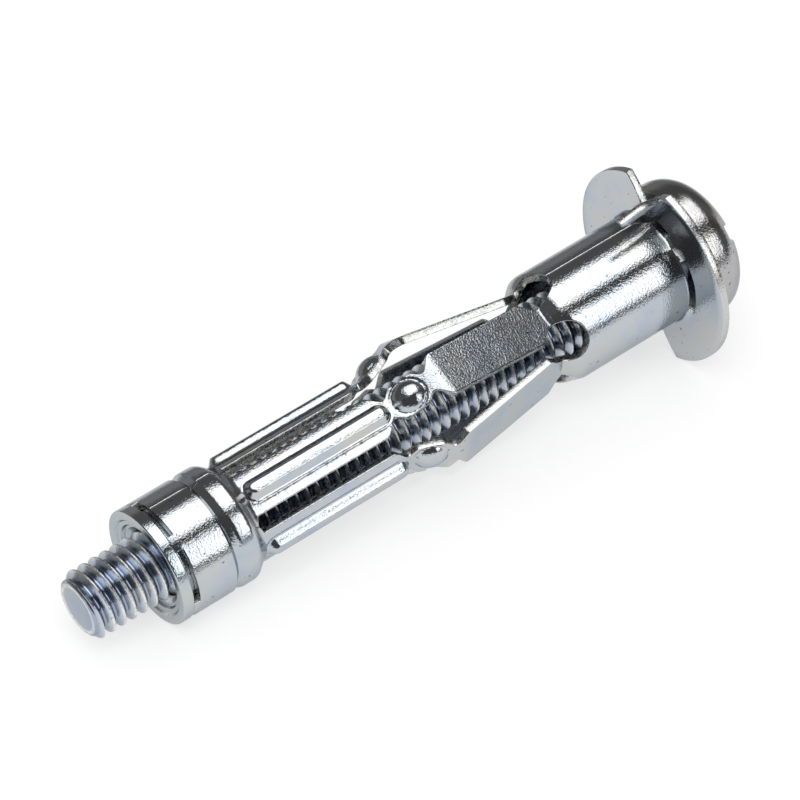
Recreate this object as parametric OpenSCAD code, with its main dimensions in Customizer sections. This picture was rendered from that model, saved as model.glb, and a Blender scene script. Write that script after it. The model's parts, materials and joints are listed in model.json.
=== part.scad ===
// Hollow wall anchor, M6 by 52: a folded sheet-steel sleeve, a captive nut and a machine screw.
// The local axis is Z: the screw's tip is at z = 0 and its head is at the top.
// Local angle 0 is the sleeve's lengthwise seam. place() lays the whole anchor on its side.

/* [Screw] */
// Outside diameter of the thread
thread_d = 5.8; // [5:0.05:6]
// Length of the screw under its head
screw_l = 60; // [56:1:64]
// Chamfer at the screw's tip
tip_chamfer = 0.43; // [0.2:0.01:0.6]
// Diameter of the pan head
head_d = 12.6; // [11.6:0.1:13.4]
// Height of the pan head
head_h = 4.9; // [4.3:0.1:5.5]
// Radius of the flattened crown of the head
head_crown_r = 11; // [9:0.5:14]
// Radius that joins the crown to the rim
head_corner_r = 2.4; // [2:0.1:3]
// Width of the driver slot
slot_w = 1.6; // [1.2:0.1:2]
// Depth of the driver slot
slot_depth = 2; // [1.5:0.1:2.4]
// Angle of the driver slot from the seam
slot_angle = 59; // [0:1:180]

/* [Sheet] */
// Thickness of the sheet steel
sheet_t = 0.7; // [0.55:0.05:0.8]
// Gap between the two edges of the sheet at the seam
seam_gap = 0.14; // [0.1:0.02:0.3]
// Number of legs around the sleeve
leg_count = 5; // [4:1:5]

/* [Nut] */
// Outside diameter of the nut's front collar
nut_d = 10.1; // [9.6:0.1:10.6]
// Thickness of the nut's front collar
nut_collar = 1; // [0.8:0.1:1.3]
// Height of the whole nut
nut_h = 4.7; // [4.2:0.1:5]
// Distance from the screw's tip to the nut's front face
nut_z = 6.5; // [4:0.1:8]
// Radial gap between the screw and the nut's bore
thread_gap = 0.05; // [0.02:0.01:0.08]
// Radial gap between the nut's body and the sheet around it
nut_gap = 0.04; // [0.02:0.01:0.08]
// Diameter of the recess in the nut's front face
recess_d = 8; // [7:0.1:8.4]
// Depth of the recess in the nut's front face
recess_depth = 0.55; // [0.3:0.05:0.8]

/* [Band and bead] */
// Outside diameter of the band around the nut
band_d = 10.1; // [9.7:0.1:10.5]
// Gap between the nut's collar and the sheet's end
end_gap = 0.6; // [0.3:0.1:0.8]
// Width of each tab that closes the end gap
tab_w = 1.3; // [0.8:0.1:1.6]
// Angle of the first tab from the seam
tab_angle = 43; // [36:1:50]
// Distance from the nut's back to the groove before the bead
groove_z = 0.85; // [0.8:0.05:1]
// Depth of the groove before the bead
groove_depth = 0.5; // [0.3:0.05:0.6]
// Diameter over the bead
bead_d = 10.2; // [9.8:0.1:10.6]
// Width of the bead from its groove to the legs
bead_w = 2.8; // [2.4:0.1:3.2]

/* [Legs] */
// Width of a leg
leg_w = 3.75; // [3.4:0.05:4]
// Outside diameter over the flat shoulders of the ribbed legs
leg_d = 8.6; // [8.3:0.1:9]
// Length of the ribbed legs, from the bead to the knee's crease
ribbed_l = 14.6; // [12:0.1:16]
// Width of a rib at its foot
rib_w = 1.6; // [1.3:0.1:1.8]
// Width of a rib's flat top
rib_top_w = 0.9; // [0.6:0.1:1]
// Height of a rib above the leg
rib_h = 0.58; // [0.4:0.02:0.6]
// Distance from the bead to the start of a rib
rib_start = 0.15; // [0.1:0.05:0.5]
// Distance from the end of a rib to the knee's crease
rib_stop = 0.3; // [0.2:0.05:0.6]
// Width of the groove inside a rib
rib_groove_w = 0.5; // [0.3:0.05:0.6]
// Radius of the crease at the foot of the knee
crease_r = 0.6; // [0.4:0.1:1]

/* [Knee] */
// Outside diameter at the sharp corner of the knees
knee_d = 11.9; // [11.2:0.1:12.4]
// Length from the crease to the top of the knee
knee_l = 4.2; // [3.6:0.1:4.8]
// Radius over the knee
knee_r = 2.4; // [1.5:0.1:3]
// Distance from the crease to the middle of the round dimple
dimple_z = 1.65; // [1.4:0.05:1.9]
// Radius of the dimple at its foot
dimple_r = 1.15; // [0.9:0.05:1.2]
// Height of the dimple
dimple_h = 0.45; // [0.3:0.05:0.5]
// Half the width of the leg beside the dimple
eye_half = 1.4; // [1.3:0.05:1.5]
// Radius of the round notches before and after the dimple
notch_r = 1.12; // [0.9:0.02:1.2]
// Half the width of the leg at the notches
neck_half = 0.85; // [0.7:0.05:1]
// Distance between the two notches of one edge
notch_pitch = 3.6; // [3.3:0.1:3.8]

/* [Panels] */
// Length of the smooth panels, from the knee's top to the collar's foot
panel_l = 11.8; // [10:0.1:13]
// Outside diameter at the foot of the panels
root_d = 8.3; // [8.1:0.1:8.6]

/* [Collar] */
// Outside diameter of the collar
collar_d = 10; // [9.7:0.1:10.3]
// Length of the cone between the panels and the collar
shoulder_l = 1.25; // [1:0.05:1.5]
// Radius of the shoulder where the collar begins
shoulder_r = 1.5; // [1:0.1:2]
// Diameter of the round holes at the collar's foot
hole_d = 3.5; // [3:0.1:3.8]
// Distance from the panels' foot to the middle of the round holes
hole_z = 0.6; // [0.4:0.05:0.8]

/* [Flange] */
// Diameter over the flange lobes
flange_d = 17.8; // [17.4:0.1:18.6]
// Gap between the flange and the screw's head
head_gap = 0.9; // [0.5:0.1:1.3]
// Radius of the fold between the collar and the flange
fold_r = 0.5; // [0.3:0.05:0.8]
// Angle from the seam to where the first lobe begins at its rim
lobe_start = 21; // [19:1:24]
// Angle from the seam to where the first lobe ends at its rim
lobe_end = 169; // [166:1:173]
// Radius of the lobe's cut corner beside the spur
lobe_corner_r = 8.25; // [8.15:0.05:8.6]
// Length of the spur that stops the anchor turning
spur_l = 4.1; // [3.6:0.1:4.8]
// Radius at the spur's outer edge
spur_r = 7.9; // [7.6:0.1:8.1]
// Angle from the seam to the spur
spur_angle = 14.5; // [13:0.5:16]
// How far the slots cut along the fold reach down from the flange's wall face
fold_slot_h = 0.25; // [0.15:0.05:0.5]
// Angle from the seam to the start of the short fold slot beside the spur
short_slot_start = 4; // [2:1:8]
// Angle from the seam to the end of the short fold slot
short_slot_end = 33; // [28:1:36]
// Angle from the seam to the start of the long fold slot
long_slot_start = 59; // [54:1:64]
// Angle from the seam to the end of the long fold slot
long_slot_end = 118; // [112:1:122]

/* [Hidden] */
$fn = 48;
leg_step = 360 / leg_count;
sheet_z = nut_z + nut_collar + end_gap;
groove_at = nut_z + nut_h + groove_z;
legs_z = groove_at + bead_w;
crease_z = legs_z + ribbed_l;
knee_z = crease_z + knee_l;
root_z = knee_z + panel_l;
collar_z = root_z + shoulder_l;
flange_z = screw_l - head_gap - sheet_t;
bore_r = thread_d / 2 + thread_gap;
nut_body_r = band_d / 2 - sheet_t - nut_gap;
big = 2 * flange_d;
clear = 1;
eps = 0.01;

// how the anchor lies: on two corners of the flange and on the nut's rim
rest_angle = (lobe_end + lobe_start + 180) / 2;
rest_half = (lobe_start + 180 - lobe_end) / 2;
rest_tilt = atan((flange_d / 2 * cos(rest_half) - nut_d / 2) / (flange_z - nut_z));
x_low = -(thread_d / 2 - tip_chamfer) * sin(rest_tilt);
x_high = (screw_l + head_h - head_crown_r) * cos(rest_tilt) + head_crown_r;
rest_lift = nut_d / 2 * cos(rest_tilt) - nut_z * sin(rest_tilt);

module place() {
    translate([-(x_low + x_high) / 2, 0, rest_lift])
        rotate([0, 90 - rest_tilt, 0])
            rotate([0, 0, -rest_angle])
                children();
}

// geometry of a path in the plane of radius and height
function unit(v) = v / norm(v);
function left(v) = [-v[1], v[0]];
function turn_at(a, b, c) = let(u = unit(b - a), w = unit(c - b)) atan2(u[0] * w[1] - u[1] * w[0], u * w);

// the corner b of a path, rounded with radius r into short steps
function corner(a, b, c, r) =
    let(turn = turn_at(a, b, c), u = unit(b - a), back = r * tan(abs(turn) / 2))
    r <= 0 || abs(turn) < 0.5 ? [b] :
    let(start = b - back * u, side = sign(turn), centre = start + side * r * left(u),
        steps = max(2, ceil(abs(turn) / 12)))
    [for (i = [0:steps]) centre + r * side * [[cos(side * abs(turn) * i / steps), -sin(side * abs(turn) * i / steps)],
        [sin(side * abs(turn) * i / steps), cos(side * abs(turn) * i / steps)]] * -left(u)];

function rounded(points, radii) =
    [for (i = [0:len(points) - 1])
        each (i == 0 || i == len(points) - 1) ? [points[i]]
            : corner(points[i - 1], points[i], points[i + 1], radii[i])];

// the same path moved sideways by d, with each corner radius changed to suit
function moved_corner(points, i, d) =
    i == 0 ? points[0] + d * left(unit(points[1] - points[0])) :
    i == len(points) - 1 ? points[i] + d * left(unit(points[i] - points[i - 1])) :
    let(half = turn_at(points[i - 1], points[i], points[i + 1]) / 2,
        across = left(unit(unit(points[i] - points[i - 1]) + unit(points[i + 1] - points[i]))))
    points[i] + d / cos(half) * across;
function moved_radius(points, radii, i, d) =
    (i == 0 || i == len(points) - 1) ? 0 :
    max(0, radii[i] - d * sign(turn_at(points[i - 1], points[i], points[i + 1])));
function moved(points, d) = [for (i = [0:len(points) - 1]) moved_corner(points, i, d)];
function moved_radii(points, radii, d) = [for (i = [0:len(points) - 1]) moved_radius(points, radii, i, d)];
function reversed(list) = [for (i = [len(list) - 1:-1:0]) list[i]];

// outer face of the sheet as [radius, height, corner radius], from the nut end to the flange's rim
sheet_path = [
    [band_d / 2, nut_z + nut_collar + eps, 0],
    [band_d / 2, groove_at - 0.3, 0.3],
    [band_d / 2 - groove_depth, groove_at, 0.12],
    [bead_d / 2, groove_at + 0.45, 0.5],
    [bead_d / 2, legs_z - 1, 0.8],
    [leg_d / 2, legs_z, 0.3],
    [leg_d / 2, crease_z, crease_r],
    [knee_d / 2, knee_z, knee_r],
    [root_d / 2, root_z, 0.15],
    [collar_d / 2, collar_z, shoulder_r],
    [collar_d / 2, flange_z, fold_r],
    [flange_d / 2, flange_z, 0]
];
sheet_points = [for (p = sheet_path) [p[0], p[1]]];
sheet_radii = [for (p = sheet_path) p[2]];

module sheet_of_revolution() {
    outer = rounded(sheet_points, sheet_radii);
    inner = rounded(moved(sheet_points, sheet_t), moved_radii(sheet_points, sheet_radii, sheet_t));
    rotate_extrude() polygon(concat(outer, reversed(inner)));
}

// what is cut from the sheet's end, which leaves short tabs that reach back to the nut's collar
module end_gaps() {
    difference() {
        translate([0, 0, sheet_z - 2 * end_gap]) cylinder(h = 2 * end_gap, d = band_d + 2 * clear);
        for (i = [0:leg_count - 1])
            rotate([0, 0, tab_angle + i * leg_step]) translate([0, -tab_w / 2, 0]) cube([band_d, tab_w, flange_z]);
    }
}

// one slot between two legs: both legs keep parallel edges
module leg_slot() {
    apex = leg_w / 2 / sin(leg_step / 2);
    reach = flange_d;
    translate([0, 0, legs_z + 0.05])
        linear_extrude(height = root_z + hole_z - legs_z)
            polygon([[apex, 0], apex * [1, 0] + reach * [cos(leg_step / 2), -sin(leg_step / 2)],
                apex * [1, 0] + reach * [cos(leg_step / 2), sin(leg_step / 2)]]);
    translate([0, 0, root_z + hole_z]) rotate([0, 90, 0]) cylinder(h = big, d = hole_d);
}

// the round notches beside the dimple of one leg, which lies along local X
module knee_notches() {
    for (side = [-1, 1]) {
        for (step = [-0.5, 0.5])
            translate([0, side * (neck_half + notch_r), crease_z + dimple_z + step * notch_pitch])
                rotate([0, 90, 0]) cylinder(h = big, r = notch_r);
        translate([big / 2, side * (eye_half + leg_w / 4), crease_z + dimple_z])
            cube([big, leg_w / 2, notch_pitch], center = true);
    }
}

// the domed dimple of one leg: its own frame lies on the knee's slope, with Z pointing out of the leg
dimple_ball = (dimple_r * dimple_r + dimple_h * dimple_h) / 2 / dimple_h;
dimple_steps = 5;
knee_slope = atan((knee_d - leg_d) / 2 / knee_l);
module on_knee_slope() {
    translate([leg_d / 2 + dimple_z * tan(knee_slope), 0, crease_z + dimple_z])
        rotate([0, 90 + knee_slope, 0])
            children();
}
// a dome of a ball's radius whose top is at the given height, on a straight wall down to the given depth
module dome(ball, top, wall_r, depth) {
    half = asin(wall_r / ball);
    rotate_extrude()
        polygon(concat(
            [[0, -depth], [wall_r, -depth]],
            [for (i = [dimple_steps:-1:0]) let(a = half * i / dimple_steps)
                [ball * sin(a), top - ball * (1 - cos(a))]]
        ));
}
module dimple_outside() {
    on_knee_slope() dome(dimple_ball, dimple_h, dimple_r, sheet_t / 2);
}
module dimple_inside() {
    on_knee_slope() dome(dimple_ball - sheet_t, dimple_h - sheet_t, dimple_r - sheet_t / 2, 2 * sheet_t);
}

// the pressed rib of one leg
rib_from = legs_z + rib_start;
rib_to = crease_z - rib_stop;
rib_top = leg_d / 2 + rib_h;
module rib_outside() {
    foot = leg_d / 2 - sheet_t / 2;
    half = [[foot, 0], [foot, rib_w / 2], [leg_d / 2 - 0.1, rib_w / 2], [rib_top, rib_top_w / 2], [rib_top, 0]];
    translate([0, 0, rib_from])
        linear_extrude(height = rib_to - rib_w / 2 - rib_from)
            polygon(concat(half, reversed([for (p = half) if (p[1] > 0) [p[0], -p[1]]])));
    translate([0, 0, rib_to - rib_w / 2]) rotate([0, 90, 0])
        rotate_extrude() polygon([for (p = half) [p[1], p[0]]]);
}
module rib_inside() {
    translate([leg_d / 2 - sheet_t - 1, -rib_groove_w / 2, rib_from + sheet_t])
        cube([1 + rib_h, rib_groove_w, rib_to - rib_from - 2 * sheet_t]);
}

// the gap beside the seam between the ends of the two lobes; each lobe's edge ends inside its spur
edge_lean = 2;
function polar(r, angle) = r * [cos(angle), sin(angle)];
module lobe_gap() {
    chord_end = polar(flange_d / 2, lobe_start);
    chord_start = polar(lobe_corner_r, spur_angle - edge_lean / 2);
    translate([0, 0, flange_z - eps])
        linear_extrude(height = 2 * sheet_t)
            polygon([
                polar(collar_d / 2, short_slot_start / 2),
                polar(flange_d / 2, lobe_end - 180),
                polar(flange_d, lobe_end - 180),
                polar(flange_d, lobe_start),
                chord_end + 2 * unit(chord_end - chord_start),
                chord_start,
                polar(collar_d / 2, spur_angle - edge_lean)
            ]);
}

// a slot along the fold, from one angle to another: it parts the collar's end from the lobe's flat plate
module fold_slot(from, to) {
    rotate([0, 0, from]) rotate_extrude(angle = to - from)
        translate([collar_d / 2 - 2 * sheet_t, flange_z - fold_slot_h])
            square([2 * sheet_t + fold_r + 0.05, fold_slot_h + 2 * sheet_t]);
}

// the spur: a claw bent from the lobe's edge to point at the threaded end
module spur() {
    rotate([0, 0, spur_angle]) translate([0, sheet_t / 2, 0]) rotate([90, 0, 0])
        linear_extrude(height = sheet_t)
            polygon([
                [collar_d / 2 + 0.4, flange_z + sheet_t],
                [collar_d / 2 + 0.4, flange_z],
                [spur_r - 0.4, flange_z - spur_l],
                [spur_r, flange_z - spur_l],
                [spur_r, flange_z + sheet_t]
            ]);
}

module sleeve() color([0.78, 0.80, 0.84]) place() {
    difference() {
        union() {
            difference() {
                sheet_of_revolution();
                end_gaps();
                for (i = [0:leg_count - 1]) {
                    rotate([0, 0, i * leg_step]) leg_slot();
                    rotate([0, 0, (i + 0.5) * leg_step]) knee_notches();
                }
                for (half_turn = [0, 180]) rotate([0, 0, half_turn]) {
                    lobe_gap();
                    fold_slot(short_slot_start, short_slot_end);
                    fold_slot(long_slot_start, long_slot_end);
                }
            }
            for (i = [0:leg_count - 1]) rotate([0, 0, (i + 0.5) * leg_step]) {
                rib_outside();
                dimple_outside();
            }
            for (half_turn = [0, 180]) rotate([0, 0, half_turn]) spur();
        }
        for (i = [0:leg_count - 1]) rotate([0, 0, (i + 0.5) * leg_step]) {
            rib_inside();
            dimple_inside();
        }
        // the seam, from the nut end to the flange
        translate([0, -seam_gap / 2, 0]) cube([collar_d / 2 + 0.4, seam_gap, big * 4]);
    }
}

module nut() color([0.80, 0.82, 0.84]) place() {
    difference() {
        union() {
            translate([0, 0, nut_z]) cylinder(h = nut_collar, d = nut_d);
            translate([0, 0, nut_z]) cylinder(h = nut_h, r = nut_body_r);
        }
        translate([0, 0, nut_z - clear]) cylinder(h = nut_h + 2 * clear, r = bore_r);
        // the coned recess around the thread
        translate([0, 0, nut_z - eps])
            cylinder(h = recess_depth + eps, d1 = recess_d, d2 = recess_d - 2 * recess_depth);
    }
}

module screw() color([0.74, 0.78, 0.82]) place() {
    difference() {
        union() {
            cylinder(h = tip_chamfer, d1 = thread_d - 2 * tip_chamfer, d2 = thread_d);
            translate([0, 0, tip_chamfer]) cylinder(h = screw_l - tip_chamfer, d = thread_d);
            screw_head();
        }
        translate([0, 0, screw_l + head_h]) rotate([0, 0, slot_angle])
            cube([head_d * 2, slot_w, 2 * slot_depth], center = true);
    }
}

// pan head: straight rim, round corner, flattened crown
module screw_head() {
    r = head_d / 2;
    // centre of the corner arc, which touches the rim and the crown
    crown_centre = head_h - head_crown_r;
    corner_x = r - head_corner_r;
    corner_y = crown_centre + sqrt(pow(head_crown_r - head_corner_r, 2) - corner_x * corner_x);
    meet = atan2(corner_x, corner_y - crown_centre);
    profile = concat(
        [[0, 0], [r, 0], [r, corner_y]],
        [for (a = [6:6:90 - meet]) [corner_x + head_corner_r * cos(a), corner_y + head_corner_r * sin(a)]],
        [for (i = [0:4]) let(a = meet * (4 - i) / 4)
            [head_crown_r * sin(a), crown_centre + head_crown_r * cos(a)]]
    );
    translate([0, 0, screw_l]) rotate_extrude() polygon(profile);
}

sleeve();
nut();
screw();
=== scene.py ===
"""A zinc-plated hollow wall anchor on a white table: folded sleeve, captive nut and screw."""

import json
import math

import bpy
import numpy as np
from mathutils import Matrix, Vector


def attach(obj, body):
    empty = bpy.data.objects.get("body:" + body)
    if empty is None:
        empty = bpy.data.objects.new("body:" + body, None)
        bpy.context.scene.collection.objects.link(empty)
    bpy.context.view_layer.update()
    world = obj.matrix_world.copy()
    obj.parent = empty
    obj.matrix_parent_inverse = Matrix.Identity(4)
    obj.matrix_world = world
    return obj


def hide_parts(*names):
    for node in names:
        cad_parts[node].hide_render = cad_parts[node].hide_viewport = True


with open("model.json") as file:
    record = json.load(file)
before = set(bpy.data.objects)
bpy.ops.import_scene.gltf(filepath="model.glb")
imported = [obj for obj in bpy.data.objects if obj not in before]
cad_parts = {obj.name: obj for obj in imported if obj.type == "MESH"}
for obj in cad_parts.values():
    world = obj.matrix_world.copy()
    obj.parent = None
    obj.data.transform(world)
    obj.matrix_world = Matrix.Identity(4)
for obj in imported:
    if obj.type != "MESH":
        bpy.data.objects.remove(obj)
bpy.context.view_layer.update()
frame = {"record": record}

MM = 0.001

# ---------------------------------------------------------------- the anchor's own axis
# s is the distance from the screw's tip along the axis in mm, and angle 0 is the sleeve's seam
JOINT = frame["record"]["behaviour"]["joints"][0]
JOINT_S = 30.0
DOWN_ANGLE = 185.0
AXIS = Vector(JOINT["axis"]).normalized()
DOWN = Vector((AXIS.z, 0.0, -AXIS.x))
ACROSS = AXIS.cross(DOWN)
TIP = Vector(JOINT["pos_m"]) - AXIS * (JOINT_S * MM)
# the same four for the meshes, which are worked out in arrays
AXIS_ROW, DOWN_ROW, ACROSS_ROW, TIP_ROW = (np.array(v) for v in (AXIS, DOWN, ACROSS, TIP))


def out_at(angle):
    """The way out from the axis at an angle in degrees from the seam, or at an array of them."""
    turn = np.radians(np.asarray(angle, float) - DOWN_ANGLE)
    return np.cos(turn)[..., None] * DOWN_ROW + np.sin(turn)[..., None] * ACROSS_ROW


def to_frame(r, angle, s):
    """Arrays of radius (mm), angle (degrees) and s (mm) as points of the CAD frame in metres."""
    r = np.asarray(r, float)[..., None] * MM
    s = np.asarray(s, float)[..., None] * MM
    return TIP_ROW + s * AXIS_ROW + r * out_at(angle)


# ---------------------------------------------------------------- sizes of the part, in mm
SHEET_T = 0.7
LEGS = 5
LEG_STEP = 360.0 / LEGS
LEG_HALF = 3.75 / 2
NUT_Z, NUT_COLLAR, NUT_H, NUT_D = 6.5, 1.0, 4.7, 10.1
# stations along the sleeve, as s
SHEET_Z = 8.1
GROOVE_Z = 12.05
LEGS_Z = 14.85
CREASE_Z = 29.45
KNEE_Z = 33.65
ROOT_Z = 45.45
COLLAR_Z = 46.7
FLANGE_Z = 58.4
BAND_D, BEAD_D, LEG_D, KNEE_D = 10.1, 10.2, 8.6, 11.9
ROOT_D, COLLAR_D, FLANGE_D = 8.3, 10.0, 17.8
GROOVE_DEPTH, FOLD_R = 0.5, 0.5
HOLE_S, HOLE_R = 46.05, 1.75
SEAM_GAP = 0.14
TAB_ANGLE, TAB_HALF = 43.0, 0.65
THREAD_R, THREAD_ROOT_R, PITCH, TIP_CHAMFER = 2.9, 2.3, 1.0, 0.43
THREAD_GAP, NUT_GAP = 0.05, 0.04
SCREW_L, HEAD_D, HEAD_H = 60.0, 12.6, 4.9
HEAD_CROWN_R, HEAD_CORNER_R = 11.0, 2.4
SLOT_ANGLE, SLOT_W, SLOT_DEPTH = 59.0, 1.6, 2.0


# ---------------------------------------------------------------- paths and meshes
def unit(v):
    return v / np.linalg.norm(v)


def rounded_path(corners, step=9.0, straight=0.8):
    """A path of [radius, s, corner radius] as points, an arc at each corner, straights divided."""
    corners = [np.array(c, float) for c in corners]
    points = [corners[0][:2]]
    for before, here, after in zip(corners, corners[1:], corners[2:]):
        a, b, c, r = before[:2], here[:2], after[:2], here[2]
        u, w = unit(b - a), unit(c - b)
        turn = math.atan2(u[0] * w[1] - u[1] * w[0], u @ w)
        if r <= 0 or abs(turn) < 0.01:
            points.append(b)
            continue
        start = b - u * r * math.tan(abs(turn) / 2)
        centre = start + math.copysign(1, turn) * r * np.array([-u[1], u[0]])
        arm = start - centre
        steps = max(3, math.ceil(math.degrees(abs(turn)) / step))
        for i in range(steps + 1):
            t = turn * i / steps
            points.append(centre + [arm[0] * math.cos(t) - arm[1] * math.sin(t),
                                    arm[0] * math.sin(t) + arm[1] * math.cos(t)])
    points.append(corners[-1][:2])
    path = [points[0]]
    for p in points[1:]:
        gap = np.linalg.norm(p - path[-1])
        if gap < 1e-6:
            continue
        parts = max(1, math.ceil(gap / straight))
        for left in range(parts, 0, -1):
            path.append(path[-1] + (p - path[-1]) / left)
    return np.array(path)


def add_object(name, data):
    thing = bpy.data.objects.new(name, data)
    bpy.context.scene.collection.objects.link(thing)
    return thing


def shade(mesh, sharp):
    """Smooth shading, with an edge where the faces turn by more than sharp degrees."""
    mesh.polygons.foreach_set("use_smooth", [True] * len(mesh.polygons))
    mesh.set_sharp_from_angle(angle=math.radians(sharp))


def new_piece(name, points, faces, material, body, sharp, wear_and_painted_light=None):
    mesh = bpy.data.meshes.new(name)
    mesh.from_pydata([tuple(p) for p in points], [], [tuple(int(i) for i in f) for f in faces])
    if wear_and_painted_light is not None:
        values = mesh.attributes.new("wear_and_painted_light", "FLOAT", "POINT").data
        values.foreach_set("value", np.asarray(wear_and_painted_light, np.float32))
    mesh.validate()
    shade(mesh, sharp)
    mesh.materials.append(material)
    piece = add_object(name, mesh)
    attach(piece, body)
    return piece


def welded(points, faces, size=2e-6):
    """Merges points that lie together, and drops faces that collapse or repeat another.

    Returns the points, the faces and which of the points given are kept."""
    keys = np.round(points / size).astype(np.int64)
    _, first, index = np.unique(keys, axis=0, return_index=True, return_inverse=True)
    index = index.reshape(-1)
    kept = {}
    for face in faces:
        ring = list(dict.fromkeys(int(index[i]) for i in face))
        if len(ring) > 2:
            kept.setdefault(tuple(sorted(ring)), ring)
    return points[first], list(kept.values()), first


def grid_faces(rows, columns, keep=None):
    faces = []
    for i in range(rows - 1):
        for j in range(columns - 1):
            if keep is None or keep[i, j]:
                here, above = i * columns + j, (i + 1) * columns + j
                faces.append((here, here + 1, above + 1, above))
    return faces


def joined(parts):
    points, faces, offset = [], [], 0
    for p, f in parts:
        points.append(p)
        faces += [[i + offset for i in face] for face in f]
        offset += len(p)
    return np.vstack(points), faces


# points round a solid of revolution, for the large ones and for the screw's ends
ROUND, ROUND_SMALL = 144, 96


def revolved(path, count, closed=True):
    """A solid of revolution from a path of [radius, s], whose ends join or lie on the axis."""
    path = np.array(path, float)
    angles = np.linspace(0, 360, count, endpoint=False)
    r = np.repeat(path[:, :1], count, axis=1)
    s = np.repeat(path[:, 1:2], count, axis=1)
    points = to_frame(r, np.broadcast_to(angles, r.shape), s).reshape(-1, 3)
    rows = len(path)
    faces = []
    for i in range(rows if closed else rows - 1):
        k = (i + 1) % rows
        for j in range(count):
            m = (j + 1) % count
            faces.append((i * count + j, k * count + j, k * count + m, i * count + m))
    points, faces, _ = welded(points, faces)
    return points, faces


EDGE_BULGE = 0.05
# places across a cut edge as shares of the thickness, and how square its rounding is
EDGE_DEPTHS = (0.03, 0.12, 0.3, 0.6, 0.85, 0.97)
EDGE_POWER = 3.0


def thick_sheet(points, normals, faces, thickness):
    """A sheet from its outer side, with rounded cut edges, and a mask that is 1 on them, for their
    pale edge colour: partly rubbing, partly a painted highlight.
    """
    points, faces, first = welded(points, faces)
    normals = normals[first]
    count = len(points)
    edges = {}
    for f, face in enumerate(faces):
        for i, a in enumerate(face):
            b = face[(i + 1) % len(face)]
            edges.setdefault((min(a, b), max(a, b)), []).append((a, b, f))
    rim = [users[0] for users in edges.values() if len(users) == 1]
    outward = np.zeros_like(points)
    for a, b, f in rim:
        inside = points[faces[f]].mean(axis=0) - (points[a] + points[b]) / 2
        out = np.cross(points[b] - points[a], normals[a])
        if np.linalg.norm(out) < 1e-12:
            continue
        out = out / np.linalg.norm(out)
        if out @ inside > 0:
            out = -out
        outward[a] += out
        outward[b] += out
    size = np.linalg.norm(outward, axis=1)
    outward[size > 0] /= size[size > 0][:, None]
    t = thickness * MM
    all_points = [points, points - normals * t]
    all_faces = [list(f) for f in faces] + [[i + count for i in reversed(f)] for f in faces]
    rim_points = np.array(sorted({i for a, b, _ in rim for i in (a, b)}))
    place = {p: k for k, p in enumerate(rim_points)}
    levels = []
    offset = 2 * count
    for depth in EDGE_DEPTHS:
        out = EDGE_BULGE * MM * (1 - abs(2 * depth - 1) ** EDGE_POWER) ** (1 / EDGE_POWER)
        all_points.append(points[rim_points] - normals[rim_points] * (t * depth)
                          + outward[rim_points] * out)
        levels.append(offset)
        offset += len(rim_points)
    for a, b, _ in rim:
        down_a, down_b = ([i] + [level + place[i] for level in levels] + [i + count]
                          for i in (a, b))
        for k in range(len(down_a) - 1):
            all_faces.append([down_b[k], down_a[k], down_a[k + 1], down_b[k + 1]])
    wear_and_painted_light = np.concatenate([np.zeros(2 * count), np.ones(offset - 2 * count)])
    return np.vstack(all_points), all_faces, wear_and_painted_light


# ---------------------------------------------------------------- materials
def node_tree(name):
    material = bpy.data.materials.new(name)
    material.use_nodes = True
    nodes = material.node_tree.nodes
    return material, nodes, material.node_tree.links, nodes["Principled BSDF"]


def noise(nodes, links, coords, scale, detail=3.0, roughness=0.5):
    texture = nodes.new("ShaderNodeTexNoise")
    texture.inputs["Scale"].default_value = scale
    texture.inputs["Detail"].default_value = detail
    texture.inputs["Roughness"].default_value = roughness
    links.new(coords, texture.inputs["Vector"])
    return texture.outputs["Fac"]


def ramp(nodes, links, value, low, high, start=0.0, end=1.0):
    """The value's range from start to end as low to high, and held beyond both."""
    node = nodes.new("ShaderNodeMapRange")
    node.inputs["From Min"].default_value = start
    node.inputs["From Max"].default_value = end
    node.inputs["To Min"].default_value = low
    node.inputs["To Max"].default_value = high
    links.new(value, node.inputs["Value"])
    return node.outputs["Result"]


def combine(nodes, links, operation, *values):
    """A math node: each of its values is a number or a socket."""
    node = nodes.new("ShaderNodeMath")
    node.operation = operation
    for socket, value in zip(node.inputs, values):
        if isinstance(value, float):
            socket.default_value = value
        else:
            links.new(value, socket)
    return node.outputs[0]


def tint(nodes, links, value, stops):
    node = nodes.new("ShaderNodeValToRGB")
    elements = node.color_ramp.elements
    while len(elements) < len(stops):
        elements.new(0.5)
    for element, (place, color) in zip(elements, stops):
        element.position = place
        element.color = (*color, 1.0)
    links.new(value, node.inputs["Fac"])
    return node.outputs["Color"]


def blend(nodes, links, factor, a, b, mode="MIX"):
    """The colours a and b mixed: either one is a colour or a socket."""
    node = nodes.new("ShaderNodeMix")
    node.data_type = "RGBA"
    node.blend_type = mode
    links.new(factor, node.inputs["Factor"])
    for socket, value in (("A", a), ("B", b)):
        if isinstance(value, tuple):
            node.inputs[socket].default_value = (*value, 1.0)
        else:
            links.new(value, node.inputs[socket])
    return node.outputs["Result"]


def bumps(nodes, links, layers, shader):
    """Several heights as one chain of bumps: each layer is (height, distance in mm)."""
    last = None
    for height, distance in layers:
        bump = nodes.new("ShaderNodeBump")
        bump.inputs["Distance"].default_value = distance * MM
        bump.inputs["Strength"].default_value = 1.0
        links.new(height, bump.inputs["Height"])
        if last:
            links.new(last, bump.inputs["Normal"])
        last = bump.outputs["Normal"]
    links.new(last, shader.inputs["Normal"])


# the noises of the plating, by their scale
WAVES, CLOUDS, PATCHES, SPECKS, RUBBING, GRAIN = 420.0, 260.0, 900.0, 2600.0, 3600.0, 6000.0
SPECK_COLOR = (0.20, 0.20, 0.22)
ZINC_SPECULAR_TINT = (0.62, 0.64, 0.66, 1.0)
WORN_ROUGHNESS = 0.22


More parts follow.
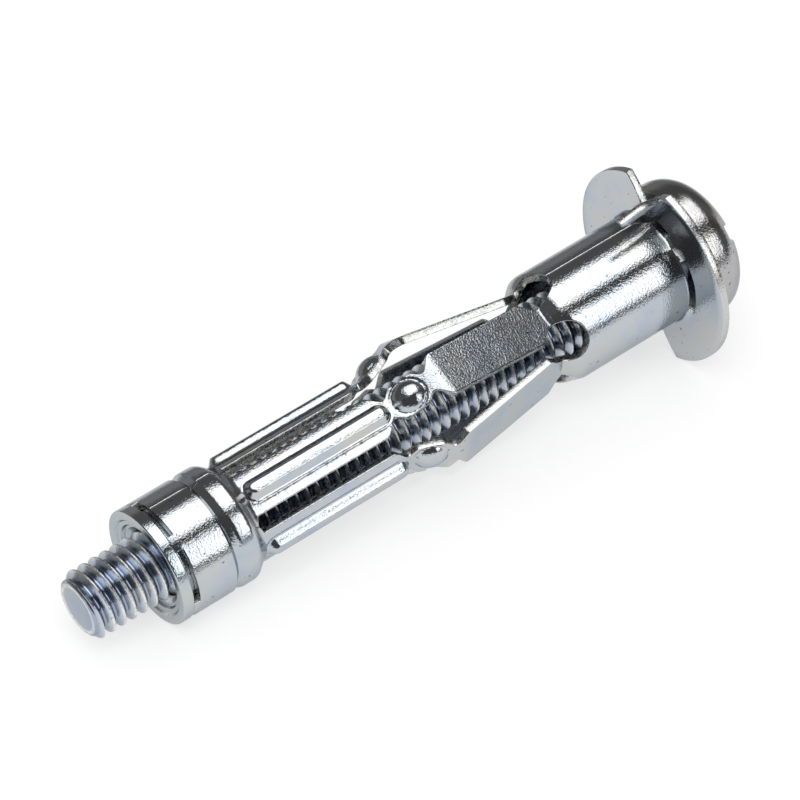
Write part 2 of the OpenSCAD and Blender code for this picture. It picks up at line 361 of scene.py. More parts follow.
def zinc(name, pale, blue, warm, grain, wave, rough, rubbed_sheen=None, painted_root_shade=None):
    """Zinc plate: cool metal with faint iridescence, fine grain, soft waves and dark specks.

    The pale edge colour is (start, end, colour), laid by the mesh's mask on cut edges and crests:
    partly rubbed plating, partly a painted highlight. The root tint is painted shade, darker
    and bluer, where the mask is 0, in the thread's roots."""
    material, nodes, links, shader = node_tree(name)
    coords = nodes.new("ShaderNodeTexCoord").outputs["Object"]
    clouds = noise(nodes, links, coords, CLOUDS, 3.0, 0.6)
    color = tint(nodes, links, clouds, [(0.3, blue), (0.5, pale), (0.68, warm)])
    specks = ramp(nodes, links, noise(nodes, links, coords, SPECKS, 2.0), 0.0, 0.85, 0.70, 0.74)
    color = blend(nodes, links, specks, color, SPECK_COLOR, "MULTIPLY")
    patches = noise(nodes, links, coords, PATCHES, 4.0, 0.6)
    roughness = ramp(nodes, links, patches, rough[0], rough[1], 0.35, 0.7)
    attribute = nodes.new("ShaderNodeAttribute")
    attribute.attribute_name = "wear_and_painted_light"
    wear_and_painted_light = attribute.outputs["Fac"]
    # painted shade: where the mask is low, in the thread's roots, the colour is tinted darker and
    # bluer
    if painted_root_shade:
        depth = ramp(nodes, links, wear_and_painted_light, 1.0, 0.0, 0.0, 0.75)
        color = blend(nodes, links, depth, color, painted_root_shade, "MULTIPLY")
    # pale, rougher edges and crests by the mask, broken by rubbing noise: partly rubbed plating,
    # partly a painted highlight
    if rubbed_sheen:
        start, end, rubbed_sheen_color = rubbed_sheen
        share = ramp(nodes, links, wear_and_painted_light, 0.0, 1.0, start, end)
        rubbing = noise(nodes, links, coords, RUBBING, 2.0, 0.6)
        broken = ramp(nodes, links, rubbing, 0.1, 1.0, 0.38, 0.56)
        share = combine(nodes, links, "MULTIPLY", share, broken)
        color = blend(nodes, links, share, color, rubbed_sheen_color)
        roughness = combine(nodes, links, "MULTIPLY_ADD", share, WORN_ROUGHNESS, roughness)
    links.new(color, shader.inputs["Base Color"])
    links.new(roughness, shader.inputs["Roughness"])
    shader.inputs["Metallic"].default_value = 1.0
    shader.inputs["Specular Tint"].default_value = ZINC_SPECULAR_TINT
    slow = noise(nodes, links, coords, WAVES, 2.0)
    fine = noise(nodes, links, coords, GRAIN, 2.0, 0.6)
    bumps(nodes, links, [(slow, wave), (fine, grain)], shader)
    return material


# the sheet's pale cut edges are partly rubbed plating and partly a painted highlight
SHEET_ZINC = zinc("sheet_zinc", pale=(0.50, 0.53, 0.56), blue=(0.44, 0.49, 0.57),
                  warm=(0.53, 0.54, 0.52), grain=0.020, wave=0.022, rough=(0.05, 0.10),
                  rubbed_sheen=(0.2, 0.9, (0.60, 0.60, 0.57)))
NUT_ZINC = zinc("nut_zinc", pale=(0.50, 0.54, 0.56), blue=(0.45, 0.51, 0.56),
                warm=(0.53, 0.54, 0.51), grain=0.020, wave=0.022, rough=(0.08, 0.14))
# painted light on the thread: pale crests, partly rubbed plating and partly a painted highlight,
# and painted shade in the roots
SCREW_ZINC = zinc("screw_zinc", pale=(0.55, 0.59, 0.63), blue=(0.49, 0.54, 0.64),
                  warm=(0.60, 0.61, 0.58), grain=0.014, wave=0.015, rough=(0.15, 0.24),
                  rubbed_sheen=(0.80, 0.95, (0.90, 0.90, 0.86)), painted_root_shade=(0.58, 0.63, 0.76))
HEAD_ZINC = zinc("head_zinc", pale=(0.46, 0.455, 0.45), blue=(0.41, 0.41, 0.43),
                 warm=(0.50, 0.47, 0.43), grain=0.024, wave=0.030, rough=(0.05, 0.10))


# ---------------------------------------------------------------- sleeve
# the sheet's outer side as (radius, s, corner radius), from the band's rim to the flange's
FLANGE_STEPS = [(COLLAR_D / 2 + FOLD_R + 0.15 * k, FLANGE_Z, 0) for k in range(1, 9)]
SHEET_PATH = [
    (BAND_D / 2, NUT_Z + NUT_COLLAR, 0),
    (BAND_D / 2, GROOVE_Z - 0.3, 0.3),
    (BAND_D / 2 - GROOVE_DEPTH, GROOVE_Z, 0.12),
    (BEAD_D / 2, GROOVE_Z + 0.45, 0.5),
    (BEAD_D / 2, LEGS_Z - 1, 0.8),
    (LEG_D / 2, LEGS_Z, 0.3),
    (LEG_D / 2, CREASE_Z, 0.6),
    (KNEE_D / 2, KNEE_Z, 2.4),
    (ROOT_D / 2, ROOT_Z, 0.15),
    (COLLAR_D / 2, COLLAR_Z, 1.5),
    (COLLAR_D / 2, FLANGE_Z, FOLD_R),
    *FLANGE_STEPS,
    (FLANGE_D / 2, FLANGE_Z, 0),
]
# where the straight wall ends before the fold, and where the flange is flat
WALL_END_S, FLAT_FLANGE_S = FLANGE_Z - 0.6, FLANGE_Z - 0.02
# stretches of s that need close rows, as (from, to, spacing), and the least spacing of all
CLOSE_ROWS = [(SHEET_Z, SHEET_Z + 0.3, 0.1), (LEGS_Z, LEGS_Z + 1.6, 0.1), (27.4, 35.2, 0.13),
              (43.0, 48.2, 0.13), (56.6, 57.9, 0.13)]
LEAST_ROW = 0.045
# columns across a leg, and how near one may lie to a cut edge's own, in half legs
LEG_PLACES, LEAST_PLACE = 34, 0.025
DIMPLE_S, DIMPLE_R, DIMPLE_H = CREASE_Z + 1.65, 1.27, 0.58
DIMPLE_ZONE = 3.4
NOTCH_REACH, NECK_HALF, NOTCH_PITCH, EYE_HALF = 1.4, 0.85, 3.6, 1.4
RIB_FOOT, RIB_TOP, RIB_H = 0.85, 0.32, 0.56
RIB_FROM, RIB_TO = LEGS_Z + 0.25, CREASE_Z - 0.3
# the rib's flank is part straight, and shallow grooves lie round the rib and the dimple:
# each as (depth, distance from the edge), and their half width
RIB_STRAIGHT = 0.45
RIB_DENT, DIMPLE_DENT, DENT_HALF = (0.06, 0.12), (0.05, 0.08), 0.1
# where the struts turn flat and round again, as (s, length)
STRUT_FLAT, STRUT_ROUND = (CREASE_Z - 0.9, 1.4), (ROOT_Z + 0.45, 0.6)
# the slots between the legs start just past the bead, with round corners
LEG_START, LEG_CORNER = LEGS_Z + 0.05, 0.35
# HOLE_STRETCH draws the round holes out towards the tip, and HOLE_BLEND, in degrees, runs
# them into the legs' edges
HOLE_STRETCH, HOLE_BLEND = 0.78, 6.0
# fold slots and lobe edges, as angles from the seam, the same on both halves
FOLD_SLOTS = [(4.0, 33.0), (59.0, 118.0)]
SLOT_LOW_S, SLOT_OUT_R = 58.15, 5.5
GUSSET_H, GUSSET_WIDTH, GUSSET_LENGTH, GUSSET_OUT = 0.28, 0.5, 0.8, 0.25
LOBE_START = [(5.0, 12.5), (8.25, 13.5), (8.9, 21.0)]
LOBE_END = [(5.0, 182.0), (8.9, 169.0)]
# the angle that each half of the flange starts at, and the radius that its lobe starts at
LOBE_TURN, LOBE_R = 8.0, 5.6
# each half is cut away up to the first angle and from the second, above this s
LOBE_GAP, LOBE_GAP_S = (14.5, 179.0), FLANGE_Z - 0.45
SPUR_ANGLE, SPUR_R, SPUR_L = 14.5, 7.9, 4.1
# the spur's mask on its sides and its edge, for the pale edge colour: partly rubbing, partly a
# painted highlight
SPUR_SIDE_WEAR_AND_SHEEN, SPUR_EDGE_WEAR_AND_SHEEN = 0.2, 0.95


def sheet_rows():
    """Rows along the sheet: radius, s and the outward normal in the plane of the axis."""
    path = rounded_path(SHEET_PATH)
    steps = np.linalg.norm(np.diff(path, axis=0), axis=1)
    length = np.concatenate([[0], np.cumsum(steps)])
    wall = path[:, 1] < WALL_END_S
    close = [np.arange(*stretch) for stretch in CLOSE_ROWS] + [[SLOT_LOW_S]]
    at = list(length) + list(np.interp(np.concatenate(close), path[wall, 1], length[wall]))
    at = np.array(sorted(at))
    at = at[np.concatenate([[True], np.diff(at) > LEAST_ROW])]
    r = np.interp(at, length, path[:, 0])
    s = np.interp(at, length, path[:, 1])
    dr, ds = np.gradient(r, at), np.gradient(s, at)
    size = np.hypot(dr, ds)
    return r, s, ds / size, -dr / size


def smooth_min(a, b, k):
    h = np.clip(0.5 + 0.5 * (b - a) / k, 0, 1)
    return b * (1 - h) + a * h - k * h * (1 - h)


def smooth_step(q):
    return q * q * (3 - 2 * q)


def leg_half_width(s):
    """Half the leg's width in mm, with the notches beside the dimple."""
    half = LEG_HALF
    for side in (-0.5, 0.5):
        away = abs(s - (DIMPLE_S + side * NOTCH_PITCH))
        if away < NOTCH_REACH:
            widening = smooth_step(away / NOTCH_REACH)
            half = min(half, NECK_HALF + (LEG_HALF - NECK_HALF) * widening)
    if abs(s - DIMPLE_S) < NOTCH_PITCH / 2:
        half = smooth_min(half, EYE_HALF, 0.2)
    into = s - LEG_START
    if into < LEG_CORNER:
        half += LEG_CORNER - math.sqrt(LEG_CORNER ** 2 - (LEG_CORNER - into) ** 2)
    return half


def leg_half_angle(r, s):
    """Half the leg's width as an angle, and 36 degrees where the sheet is whole."""
    full = LEG_STEP / 2
    if s <= LEG_START or s >= HOLE_S + HOLE_R:
        return full
    beyond = s > HOLE_S
    angle = full if beyond else math.degrees(math.asin(min(0.99, leg_half_width(s) / r)))
    away = abs(s - HOLE_S) * (1.0 if beyond else HOLE_STRETCH)
    if away < HOLE_R:
        hole = full - math.degrees(math.asin(math.sqrt(HOLE_R ** 2 - away ** 2) / r))
        angle = min(full, hole) if beyond else smooth_min(angle, hole, HOLE_BLEND)
    return min(full, angle)


def dent(past_edge, shape):
    """The depth of the shallow groove round a pressed shape, past its edge by so many mm."""
    depth, distance = shape
    return depth * np.exp(-((past_edge - distance) / DENT_HALF) ** 2)


def pressed_height(s, y):
    """How far the rib or the dimple stands out of a leg, at s and y mm across the leg."""
    nearest = np.clip(s, RIB_FROM + RIB_FOOT, RIB_TO - RIB_FOOT)
    across = np.hypot(y, s - nearest)
    rise = np.clip((RIB_FOOT - across) / (RIB_FOOT - RIB_TOP), 0, 1)
    flank = rise * RIB_STRAIGHT + (1 - RIB_STRAIGHT) * smooth_step(rise)
    rib = RIB_H * flank - dent(across - RIB_FOOT, RIB_DENT)
    d = np.hypot(y, s - DIMPLE_S)
    ball = (DIMPLE_R ** 2 + DIMPLE_H ** 2) / (2 * DIMPLE_H)
    dome = np.sqrt(np.clip(ball ** 2 - d ** 2, 0, None)) - (ball - DIMPLE_H)
    dimple = np.where(d < DIMPLE_R, dome, 0) - dent(d - DIMPLE_R, DIMPLE_DENT)
    inside = (s > CREASE_Z) & (s < CREASE_Z + DIMPLE_ZONE)
    return np.where(s < CREASE_Z, rib, 0) + np.where(inside, dimple, 0)


def strut_flatness(s):
    """1 where a leg is flat across its width and 0 where it keeps the tube's curve."""
    rise = np.clip((s - STRUT_FLAT[0]) / STRUT_FLAT[1], 0, 1)
    fall = np.clip((STRUT_ROUND[0] - s) / STRUT_ROUND[1], 0, 1)
    return smooth_step(np.minimum(rise, fall))


def gusset_height(r, s, angle):
    """The small rib pressed across the fold, in the middle of each bridge between two slots."""
    low, high = FOLD_SLOTS[0][1], FOLD_SLOTS[1][0]
    across = np.radians(angle % 180 - (low + high) / 2) * COLLAR_D / 2
    along = (r - COLLAR_D / 2) - (FLANGE_Z - s)
    rise = np.exp(-(across / GUSSET_WIDTH) ** 2 - ((along - GUSSET_OUT) / GUSSET_LENGTH) ** 2)
    return np.where(s > COLLAR_Z + 5, GUSSET_H * rise, 0)


def sheet_columns():
    """The sheet's columns as (leg, place across it from -1 to 1), each cut edge with its own."""
    places = set(np.round(np.linspace(-1, 1, LEG_PLACES), 4))
    places |= {side * edge / LEG_HALF for side in (-1, 1) for edge in (RIB_FOOT, RIB_TOP)}
    tab = math.degrees(TAB_HALF / (BAND_D / 2))
    cuts = [a + half for half in (0, 180) for slot in FOLD_SLOTS for a in slot]
    cuts += [TAB_ANGLE + i * LEG_STEP + side * tab for i in range(LEGS) for side in (-1, 1)]
    columns = []
    for leg in range(LEGS):
        mine = set(places)
        for cut in cuts:
            t = ((cut % 360) - (leg + 0.5) * LEG_STEP) / (LEG_STEP / 2)
            if -1 < t < 1:
                mine = {m for m in mine if abs(m - t) > LEAST_PLACE or abs(m) == 1}
                mine |= {t}
        columns += [(leg, t) for t in sorted(mine)]
    return columns


def lobe_limits(r):
    """Where a lobe starts and ends at radius r, as angles in its own half."""
    return [np.interp(r, *zip(*edge))[:, None] for edge in (LOBE_START, LOBE_END)]


def metal_cells(r, s, leg, t):
    """Which cells of the grid of rows and columns are metal."""
    cs = (s[:-1] + s[1:])[:, None] / 2
    cr = (r[:-1] + r[1:])[:, None] / 2
    around = (leg + 0.5) * LEG_STEP + t * LEG_STEP / 2
    ca = (around[:-1] + around[1:])[None, :] / 2
    keep = np.broadcast_to((leg[:-1] == leg[1:])[None, :], (len(r) - 1, len(leg) - 1)).copy()
    from_tab = np.abs((ca - TAB_ANGLE + LEG_STEP / 2) % LEG_STEP - LEG_STEP / 2)
    keep &= ~((cs < SHEET_Z) & (from_tab >= math.degrees(TAB_HALF / (BAND_D / 2))))
    a = ca % 180
    for low, high in FOLD_SLOTS:
        keep &= ~((cs > SLOT_LOW_S) & (cr < SLOT_OUT_R) & (a > low) & (a < high))
    keep &= ~((cs > LOBE_GAP_S) & ((a < LOBE_GAP[0]) | (a > LOBE_GAP[1])))
    return keep


def sleeve():
    r, s, nr, ns = sheet_rows()
    leg, t = (np.array(values) for values in zip(*sheet_columns()))
    keep = metal_cells(r, s, leg, t)
    half = np.array([leg_half_angle(a, b) for a, b in zip(r, s)])[:, None]
    r, s, nr, ns = (values[:, None] for values in (r, s, nr, ns))
    wide = half >= LEG_STEP / 2 - 1e-6
    on_leg = np.degrees(np.arcsin(np.clip(t * np.sin(np.radians(half)), -1, 1)))
    beta = np.where(wide, t * LEG_STEP / 2, on_leg)
    gap = np.degrees(SEAM_GAP / 2 / r)
    angle = np.clip((leg + 0.5) * LEG_STEP + beta, gap, 360 - gap)
    # in the flange the columns stop at the edges of the lobes
    start, end = lobe_limits(r[:, 0])
    turned = (angle - LOBE_TURN) % 360
    in_half = np.floor(turned / 180) * 180
    clamped = np.clip(turned - in_half + LOBE_TURN, start, end) + in_half
    angle = np.where((s > FLAT_FLANGE_S) & (r > LOBE_R), clamped, angle)
    y = r * np.sin(np.radians(beta))
    height = np.where((s > LEGS_Z) & (s < KNEE_Z), pressed_height(s, y), 0)
    height = height + gusset_height(r, s, angle)
    # a flat strut lies midway between the chord and the arc of its full width
    flatness = np.where(wide, 0, strut_flatness(s))
    chord = r * (1 + np.sqrt(1 - (LEG_HALF / r) ** 2)) / 2 / np.cos(np.radians(beta))
    radius = r * (1 - flatness) + chord * flatness + nr * height
    points = to_frame(radius, angle, s + ns * height)
    facing = angle - beta * flatness
    shape = radius.shape
    normals = to_frame(np.broadcast_to(nr, shape), facing, np.broadcast_to(ns, shape))
    normals = normals - to_frame(np.zeros(shape), facing, np.zeros(shape))
    normals /= np.linalg.norm(normals, axis=2)[..., None]
    faces = grid_faces(*shape, keep)
    return thick_sheet(points.reshape(-1, 3), normals.reshape(-1, 3), faces, SHEET_T)


def spur(half_turn):
    """A claw: a plate in a plane of the axis, thick across it, and its mask for the pale edge
    colour, partly rubbing and partly a painted highlight.
    """
    top, tip = FLANGE_Z + 0.6, FLANGE_Z - SPUR_L
    outline = rounded_path([
        (5.5, top, 0),
        (5.6, FLANGE_Z, 0.3),
        (SPUR_R - 1.0, tip + 1.7, 3.0),
        (SPUR_R - 0.45, tip + 0.1, 0.15),
        (SPUR_R - 0.1, tip, 0.1),
        (SPUR_R + 0.4, tip + 2.4, 2.5),
        (SPUR_R - 0.1, top, 0),
    ], straight=0.25)
    # rings across the plate, as (share of half its thickness, how far the ring is drawn in)
    levels = [(-1.0, 0.12), (-0.9, 0.04), (-0.7, 0.0), (0.7, 0.0), (0.9, 0.04), (1.0, 0.12)]
    angle = SPUR_ANGLE + half_turn
    sideways = np.cross(AXIS_ROW, out_at(angle))
    arms = outline - outline.mean(axis=0)
    arms = arms / np.linalg.norm(arms, axis=1)[:, None]
    count = len(outline)
    points, faces = [], []
    for across, inset in levels:
        ring = outline - arms * inset
        points.append(to_frame(ring[:, 0], angle, ring[:, 1])
                      + sideways * (across * SHEET_T / 2 * MM))
    for k in range(len(levels) - 1):
        for i in range(count):
            j = (i + 1) % count
            faces.append((k * count + i, k * count + j, (k + 1) * count + j, (k + 1) * count + i))
    faces.append(tuple(range(count))[::-1])
    faces.append(tuple((len(levels) - 1) * count + i for i in range(count)))
    wear_and_painted_light = np.repeat([SPUR_SIDE_WEAR_AND_SHEEN if abs(across) == 1 else SPUR_EDGE_WEAR_AND_SHEEN
                      for across, _ in levels], count)
    return np.vstack(points), faces, wear_and_painted_light


sleeve_parts = [sleeve(), spur(0), spur(180)]
sleeve_wear_and_sheen = np.concatenate([part[2] for part in sleeve_parts])
sleeve_piece = new_piece("folded_sleeve", *joined([part[:2] for part in sleeve_parts]),
                         SHEET_ZINC, "anchor", 40.0, sleeve_wear_and_sheen)
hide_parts("sleeve")


# ---------------------------------------------------------------- nut
def nut():
    """The nut: its collar in front, rings and a coned recess in its face, its body behind."""
    body_r = BAND_D / 2 - SHEET_T - NUT_GAP
    bore = THREAD_R + THREAD_GAP
    path = rounded_path([
        (bore, NUT_Z + 0.9, 0),
        (bore + 0.45, NUT_Z + 0.5, 0.05),
        (3.6, NUT_Z + 0.5, 0.08),
        (3.75, NUT_Z + 0.22, 0.08),
        (4.1, NUT_Z + 0.2, 0.05),
        (4.3, NUT_Z, 0.12),
        (NUT_D / 2, NUT_Z, 0.16),
        (NUT_D / 2, NUT_Z + NUT_COLLAR, 0.1),
        (body_r, NUT_Z + NUT_COLLAR, 0.05),
        (body_r, NUT_Z + NUT_H, 0.3),
        (bore, NUT_Z + NUT_H, 0.2),
        (bore, NUT_Z + 0.9, 0),
    ], straight=0.6)
    return revolved(path[:-1], ROUND)


nut_piece = new_piece("captive_nut", *nut(), NUT_ZINC, "anchor", 30.0)
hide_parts("nut")


# ---------------------------------------------------------------- screw
# where the helix starts, as s and as an angle from the seam, and where the thread ends
THREAD_PHASE, THREAD_ANGLE = 1.343, 49.0
THREAD_END = 57.0
THREAD_TURN = 72
TIP_RING = 0.22
# the flat tip with its ring, as [radius, s], and its mask, as (up to this radius, value): low
# values take the darker, bluer root tint and high ones the pale crest colour
TIP_FACE = [(0, 0.06), (1.3, 0.055), (1.8, 0.05), (1.95, 0.03), (2.08, 0), (2.2, 0), (2.3, 0.06),
            (2.42, 0.15), (THREAD_R - TIP_CHAMFER, TIP_RING), (THREAD_R - TIP_CHAMFER, 0.5),
            (0, 0.5)]
TIP_MASK = [(1.9, 0.42), (2.25, 0.92), (THREAD_R, 0.1)]
# the mask of the plain shank's end, which gives it a faint root tint and no pale colour
SHANK_MASK = 0.7
SHANK_END = [(0, THREAD_END - 0.3), (2.6, THREAD_END - 0.3), (2.75, THREAD_END),
             (2.75, SCREW_L + 0.3), (0, SCREW_L + 0.3)]


def tooth():
    """One pitch of the thread from root to root, as shares of the pitch and radii."""
    crest, root = THREAD_R, THREAD_ROOT_R
    flank = [(0.5, root), (0.42, root + 0.01), (0.36, root + 0.05), (0.09, crest - 0.05),
             (0.045, crest - 0.01)]
    return [(-share, r) for share, r in flank] + [(0.0, crest)] + flank[::-1]


def thread():
    """The threaded shank, a grid that climbs with the helix, with its tip, end and a mask: the
    height above the root, which gives painted shade in the roots and pale crests, partly rubbing
    and partly a painted highlight.
    """
    share, radius = np.array(tooth()).T
    steps = (int(THREAD_END / PITCH) + 4) * THREAD_TURN
    angle = np.arange(steps + 1) * 360.0 / THREAD_TURN
    base = THREAD_PHASE - 2 * PITCH + angle / 360.0 * PITCH
    s = np.clip(base[:, None] + share * PITCH, TIP_RING, THREAD_END)
    r = np.minimum(radius, THREAD_R - TIP_CHAMFER + (s - TIP_RING))
    points = to_frame(r, np.broadcast_to((angle + THREAD_ANGLE)[:, None], s.shape), s)
    points, faces, first = welded(points.reshape(-1, 3), grid_faces(*s.shape), 4e-6)
    above_root = np.maximum(r, THREAD_ROOT_R).reshape(-1)[first] - THREAD_ROOT_R
    tip, tip_faces = revolved(TIP_FACE, ROUND_SMALL, False)
    end, end_faces = revolved(SHANK_END, ROUND_SMALL, False)
    from_axis = np.linalg.norm(np.cross(tip - TIP_ROW, AXIS_ROW), axis=1) / MM
    tip_mask_values = np.array(TIP_MASK)[np.searchsorted([w[0] for w in TIP_MASK[:-1]], from_axis), 1]
    points, faces = joined([(points, faces), (tip, tip_faces), (end, end_faces)])
    wear_and_painted_light = np.concatenate([above_root / (THREAD_R - THREAD_ROOT_R), tip_mask_values,
                           np.full(len(end), SHANK_MASK)])
    return points, faces, wear_and_painted_light


def head():
    """A pan head before its slot is cut: a flat underside, round corners and a low crown."""
    r = HEAD_D / 2
    crown_s = SCREW_L + HEAD_H - HEAD_CROWN_R
    corner_x = r - HEAD_CORNER_R
    rise = math.sqrt((HEAD_CROWN_R - HEAD_CORNER_R) ** 2 - corner_x ** 2)
    corner_s = crown_s + rise
    meet = math.atan2(corner_x, rise)
    path = [(0, SCREW_L), (r - 0.15, SCREW_L), (r - 0.04, SCREW_L + 0.04), (r, SCREW_L + 0.16)]
    path += [(r, (SCREW_L + corner_s) / 2), (r, corner_s)]
    path += [(corner_x + HEAD_CORNER_R * math.cos(a), corner_s + HEAD_CORNER_R * math.sin(a))
             for a in np.radians(np.arange(5, 90 - math.degrees(meet), 5))]
    path += [(HEAD_CROWN_R * math.sin(a), crown_s + HEAD_CROWN_R * math.cos(a))
             for a in np.linspace(meet, 0, 9)]
    return revolved(path, ROUND, False)


def slot_cutter():
    along = out_at(SLOT_ANGLE)
    across = np.cross(AXIS_ROW, along)
    points = []
    for s in (SCREW_L + HEAD_H - SLOT_DEPTH, SCREW_L + HEAD_H + 1):
        for x, y in ((-1, -1), (1, -1), (1, 1), (-1, 1)):
            corner = AXIS_ROW * s + along * (x * HEAD_D) + across * (y * SLOT_W / 2)
            points.append(TIP_ROW + corner * MM)
    faces = [(3, 2, 1, 0), (4, 5, 6, 7), (0, 1, 5, 4), (1, 2, 6, 5), (2, 3, 7, 6), (3, 0, 4, 7)]
    mesh = bpy.data.meshes.new("slot_cutter")
    mesh.from_pydata(points, [], faces)
    return add_object("slot_cutter", mesh)


def cut_slot(piece):
    """Cuts the driver slot and softens the edges, all written into the piece's mesh."""
    cutter = slot_cutter()
    cut = piece.modifiers.new("slot", "BOOLEAN")
    cut.operation = "DIFFERENCE"
    cut.solver = "EXACT"
    cut.object = cutter
    soften = piece.modifiers.new("edges", "BEVEL")
    soften.width = 0.08 * MM
    soften.segments = 3
    soften.limit_method = "ANGLE"
    soften.angle_limit = math.radians(40)
    bpy.context.view_layer.update()
    shape = piece.evaluated_get(bpy.context.evaluated_depsgraph_get())
    mesh = bpy.data.meshes.new_from_object(shape)
    old = piece.data
    piece.modifiers.clear()
    piece.data = mesh
    bpy.data.meshes.remove(old)
    bpy.data.objects.remove(cutter)
    shade(mesh, 40)


shank_points, shank_faces, crests = thread()
screw_piece = new_piece("threaded_shank", shank_points, shank_faces, SCREW_ZINC, "screw", 50.0,
                        crests)
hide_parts("screw")

head_piece = new_piece("pan_head", *head(), HEAD_ZINC, "screw", 35.0)
cut_slot(head_piece)


# ---------------------------------------------------------------- camera
# each along three directions: out at CAMERA_ANGLE, out at 90 degrees more, and the axis
CAMERA_ANGLE = 49.0
CAMERA_FROM_TIP = (267.88, -1.15, -87.37)
CAMERA_VIEW = (-0.91293, 0.0, 0.40811)
CAMERA_UP = (0.2088, -0.8592, 0.46709)
LENS, SENSOR = 163.97, 36.0


def camera():
    turns = [math.radians(CAMERA_ANGLE + more - DOWN_ANGLE) for more in (0, 90)]
    sides = [DOWN * math.cos(turn) + ACROSS * math.sin(turn) for turn in turns] + [AXIS]
    place, view, up = (sum((side * k for side, k in zip(sides, parts)), Vector())
                       for parts in (CAMERA_FROM_TIP, CAMERA_VIEW, CAMERA_UP))
    right = view.cross(up).normalized()
    up = right.cross(view).normalized()
    data = bpy.data.cameras.new("camera")
    data.lens = LENS
    data.sensor_width = SENSOR
    data.clip_start = 0.01
    data.clip_end = 20.0
    eye = add_object("camera", data)
    eye.location = TIP + place * MM
    eye.rotation_mode = "QUATERNION"
    eye.rotation_quaternion = Matrix((right, up, -view.normalized())).transposed().to_quaternion()
    bpy.context.scene.camera = eye


camera()


# ---------------------------------------------------------------- studio
FULL = (-3.0, 3.0)
TABLE_HALF = 3.0
TABLE_GREY, TABLE_ROUGHNESS = 0.42, 0.9
# strengths of the table and the world, for the light they bring and as they are seen
TABLE_GLOW, WORLD_GLOW = (0.3, 0.60), (0.75, 1.0)
CARD_R, CARD_STEP = 0.7, 4
# dark flags between bright panels that only reflections see, bent round the X axis, as
# (name, start, end, strength, x range): 0 degrees is the horizon in front, 90 overhead and
# 180 behind
CARDS = [
    ("flag_low_front", 1, 7, 0.08, FULL),
    ("flag_front_near", 7, 48, 0.08, (-3.0, 0.15)),
    ("panel_front", 7, 44, 2.3, (0.15, 0.46)),
    ("panel_front_step", 44, 48, 2.3, (0.15, 0.30)),
    ("flag_front_end", 7, 44, 0.14, (0.46, 3.0)),
    ("flag_front", 48, 64, 0.08, (-3.0, 0.30)),
    ("flag_front_wide", 44, 68, 0.08, (0.30, 3.0)),
    ("flag_high_far", 64, 110, 0.12, (-3.0, -0.33)),
    ("panel_high_step", 64, 68, 2.0, (-0.33, 0.30)),
    ("panel_top_near", 68, 110, 2.0, (-0.33, 0.12)),
    ("panel_top", 68, 110, 2.4, (0.12, 0.46)),
    ("flag_top_end", 68, 110, 0.16, (0.46, 3.0)),
    ("flag_back", 110, 168, 0.11, FULL),
    ("flag_low_back", 168, 179, 0.18, FULL),
]
# low dark strips that stand on the table, as (name, y, height, strength)
STRIPS = [("strip_front", -0.13, 0.022, 0.06), ("strip_back", 0.055, 0.035, 0.28)]


def seen_directly(nodes, links):
    """1 for camera, glossy and transmission rays, and 0 for those that only bring light."""
    rays = nodes.new("ShaderNodeLightPath").outputs
    seen = combine(nodes, links, "MAXIMUM", rays["Is Camera Ray"], rays["Is Glossy Ray"])
    return combine(nodes, links, "MAXIMUM", seen, rays["Is Transmission Ray"])


def white_world():
    world = bpy.data.worlds.new("white_studio")
    world.use_nodes = True
    nodes, links = world.node_tree.nodes, world.node_tree.links
    back = nodes["Background"]
    back.inputs["Color"].default_value = (1, 1, 1, 1)
    strength = ramp(nodes, links, seen_directly(nodes, links), *WORLD_GLOW)
    links.new(strength, back.inputs["Strength"])
    bpy.context.scene.world = world


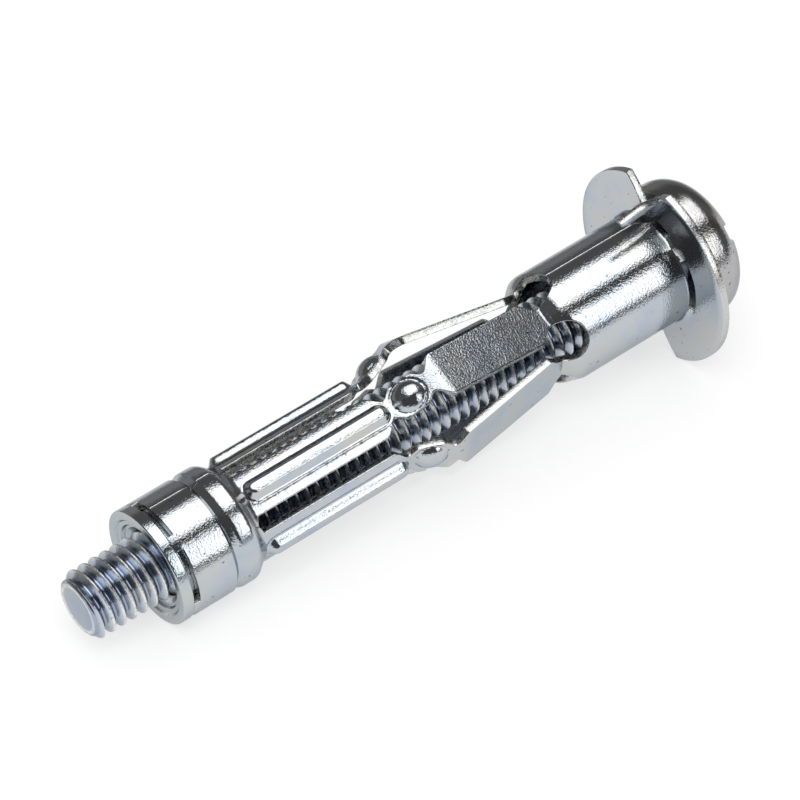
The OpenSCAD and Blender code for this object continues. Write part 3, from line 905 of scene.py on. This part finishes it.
def table():
    material, nodes, links, shader = node_tree("white_table")
    shader.inputs["Base Color"].default_value = (TABLE_GREY, TABLE_GREY, TABLE_GREY, 1)
    shader.inputs["Roughness"].default_value = TABLE_ROUGHNESS
    shader.inputs["Specular IOR Level"].default_value = 0.0
    shader.inputs["Emission Color"].default_value = (1, 1, 1, 1)
    glow = ramp(nodes, links, seen_directly(nodes, links), *TABLE_GLOW)
    links.new(glow, shader.inputs["Emission Strength"])
    mesh = bpy.data.meshes.new("table")
    corners = [(-1, -1), (1, -1), (1, 1), (-1, 1)]
    mesh.from_pydata([(x * TABLE_HALF, y * TABLE_HALF, 0) for x, y in corners], [], [(0, 1, 2, 3)])
    mesh.materials.append(material)
    add_object("table", mesh)


def card(name, points, faces, strength):
    """A glowing sheet that only reflections see."""
    material, nodes, links, shader = node_tree(name)
    nodes.remove(shader)
    glow = nodes.new("ShaderNodeEmission")
    glow.inputs["Strength"].default_value = strength
    links.new(glow.outputs["Emission"], nodes["Material Output"].inputs["Surface"])
    mesh = bpy.data.meshes.new(name)
    mesh.from_pydata(points, [], faces)
    mesh.materials.append(material)
    sheet = add_object(name, mesh)
    sheet.visible_camera = False
    sheet.visible_shadow = False
    sheet.visible_diffuse = False


def arc_card(name, start, end, strength, x_range):
    steps = max(2, int((end - start) / CARD_STEP))
    points = []
    for i in range(steps + 1):
        a = math.radians(start + (end - start) * i / steps)
        points += [(x, -CARD_R * math.cos(a), CARD_R * math.sin(a)) for x in x_range]
    faces = [(2 * i, 2 * i + 1, 2 * i + 3, 2 * i + 2) for i in range(steps)]
    card(name, points, faces, strength)


def strip_card(name, y, height, strength):
    points = [(FULL[0], y, 0.0), (FULL[1], y, 0.0), (FULL[1], y, height), (FULL[0], y, height)]
    card(name, points, [(0, 1, 2, 3)], strength)


def lamp(name, place, size, power):
    """A round area lamp that looks at the origin and isn't seen in reflections."""
    data = bpy.data.lights.new(name, "AREA")
    data.shape = "DISK"
    data.size = size
    data.energy = power
    light = add_object(name, data)
    light.location = place
    light.rotation_mode = "QUATERNION"
    light.rotation_quaternion = (-Vector(place)).to_track_quat("-Z", "Y")
    light.visible_glossy = False


white_world()
table()
for row in CARDS:
    arc_card(*row)
for row in STRIPS:
    strip_card(*row)
lamp("key_lamp", (-0.3, -0.5, 0.9), 0.8, 5.0)
bpy.context.scene.view_settings.view_transform = "Standard"
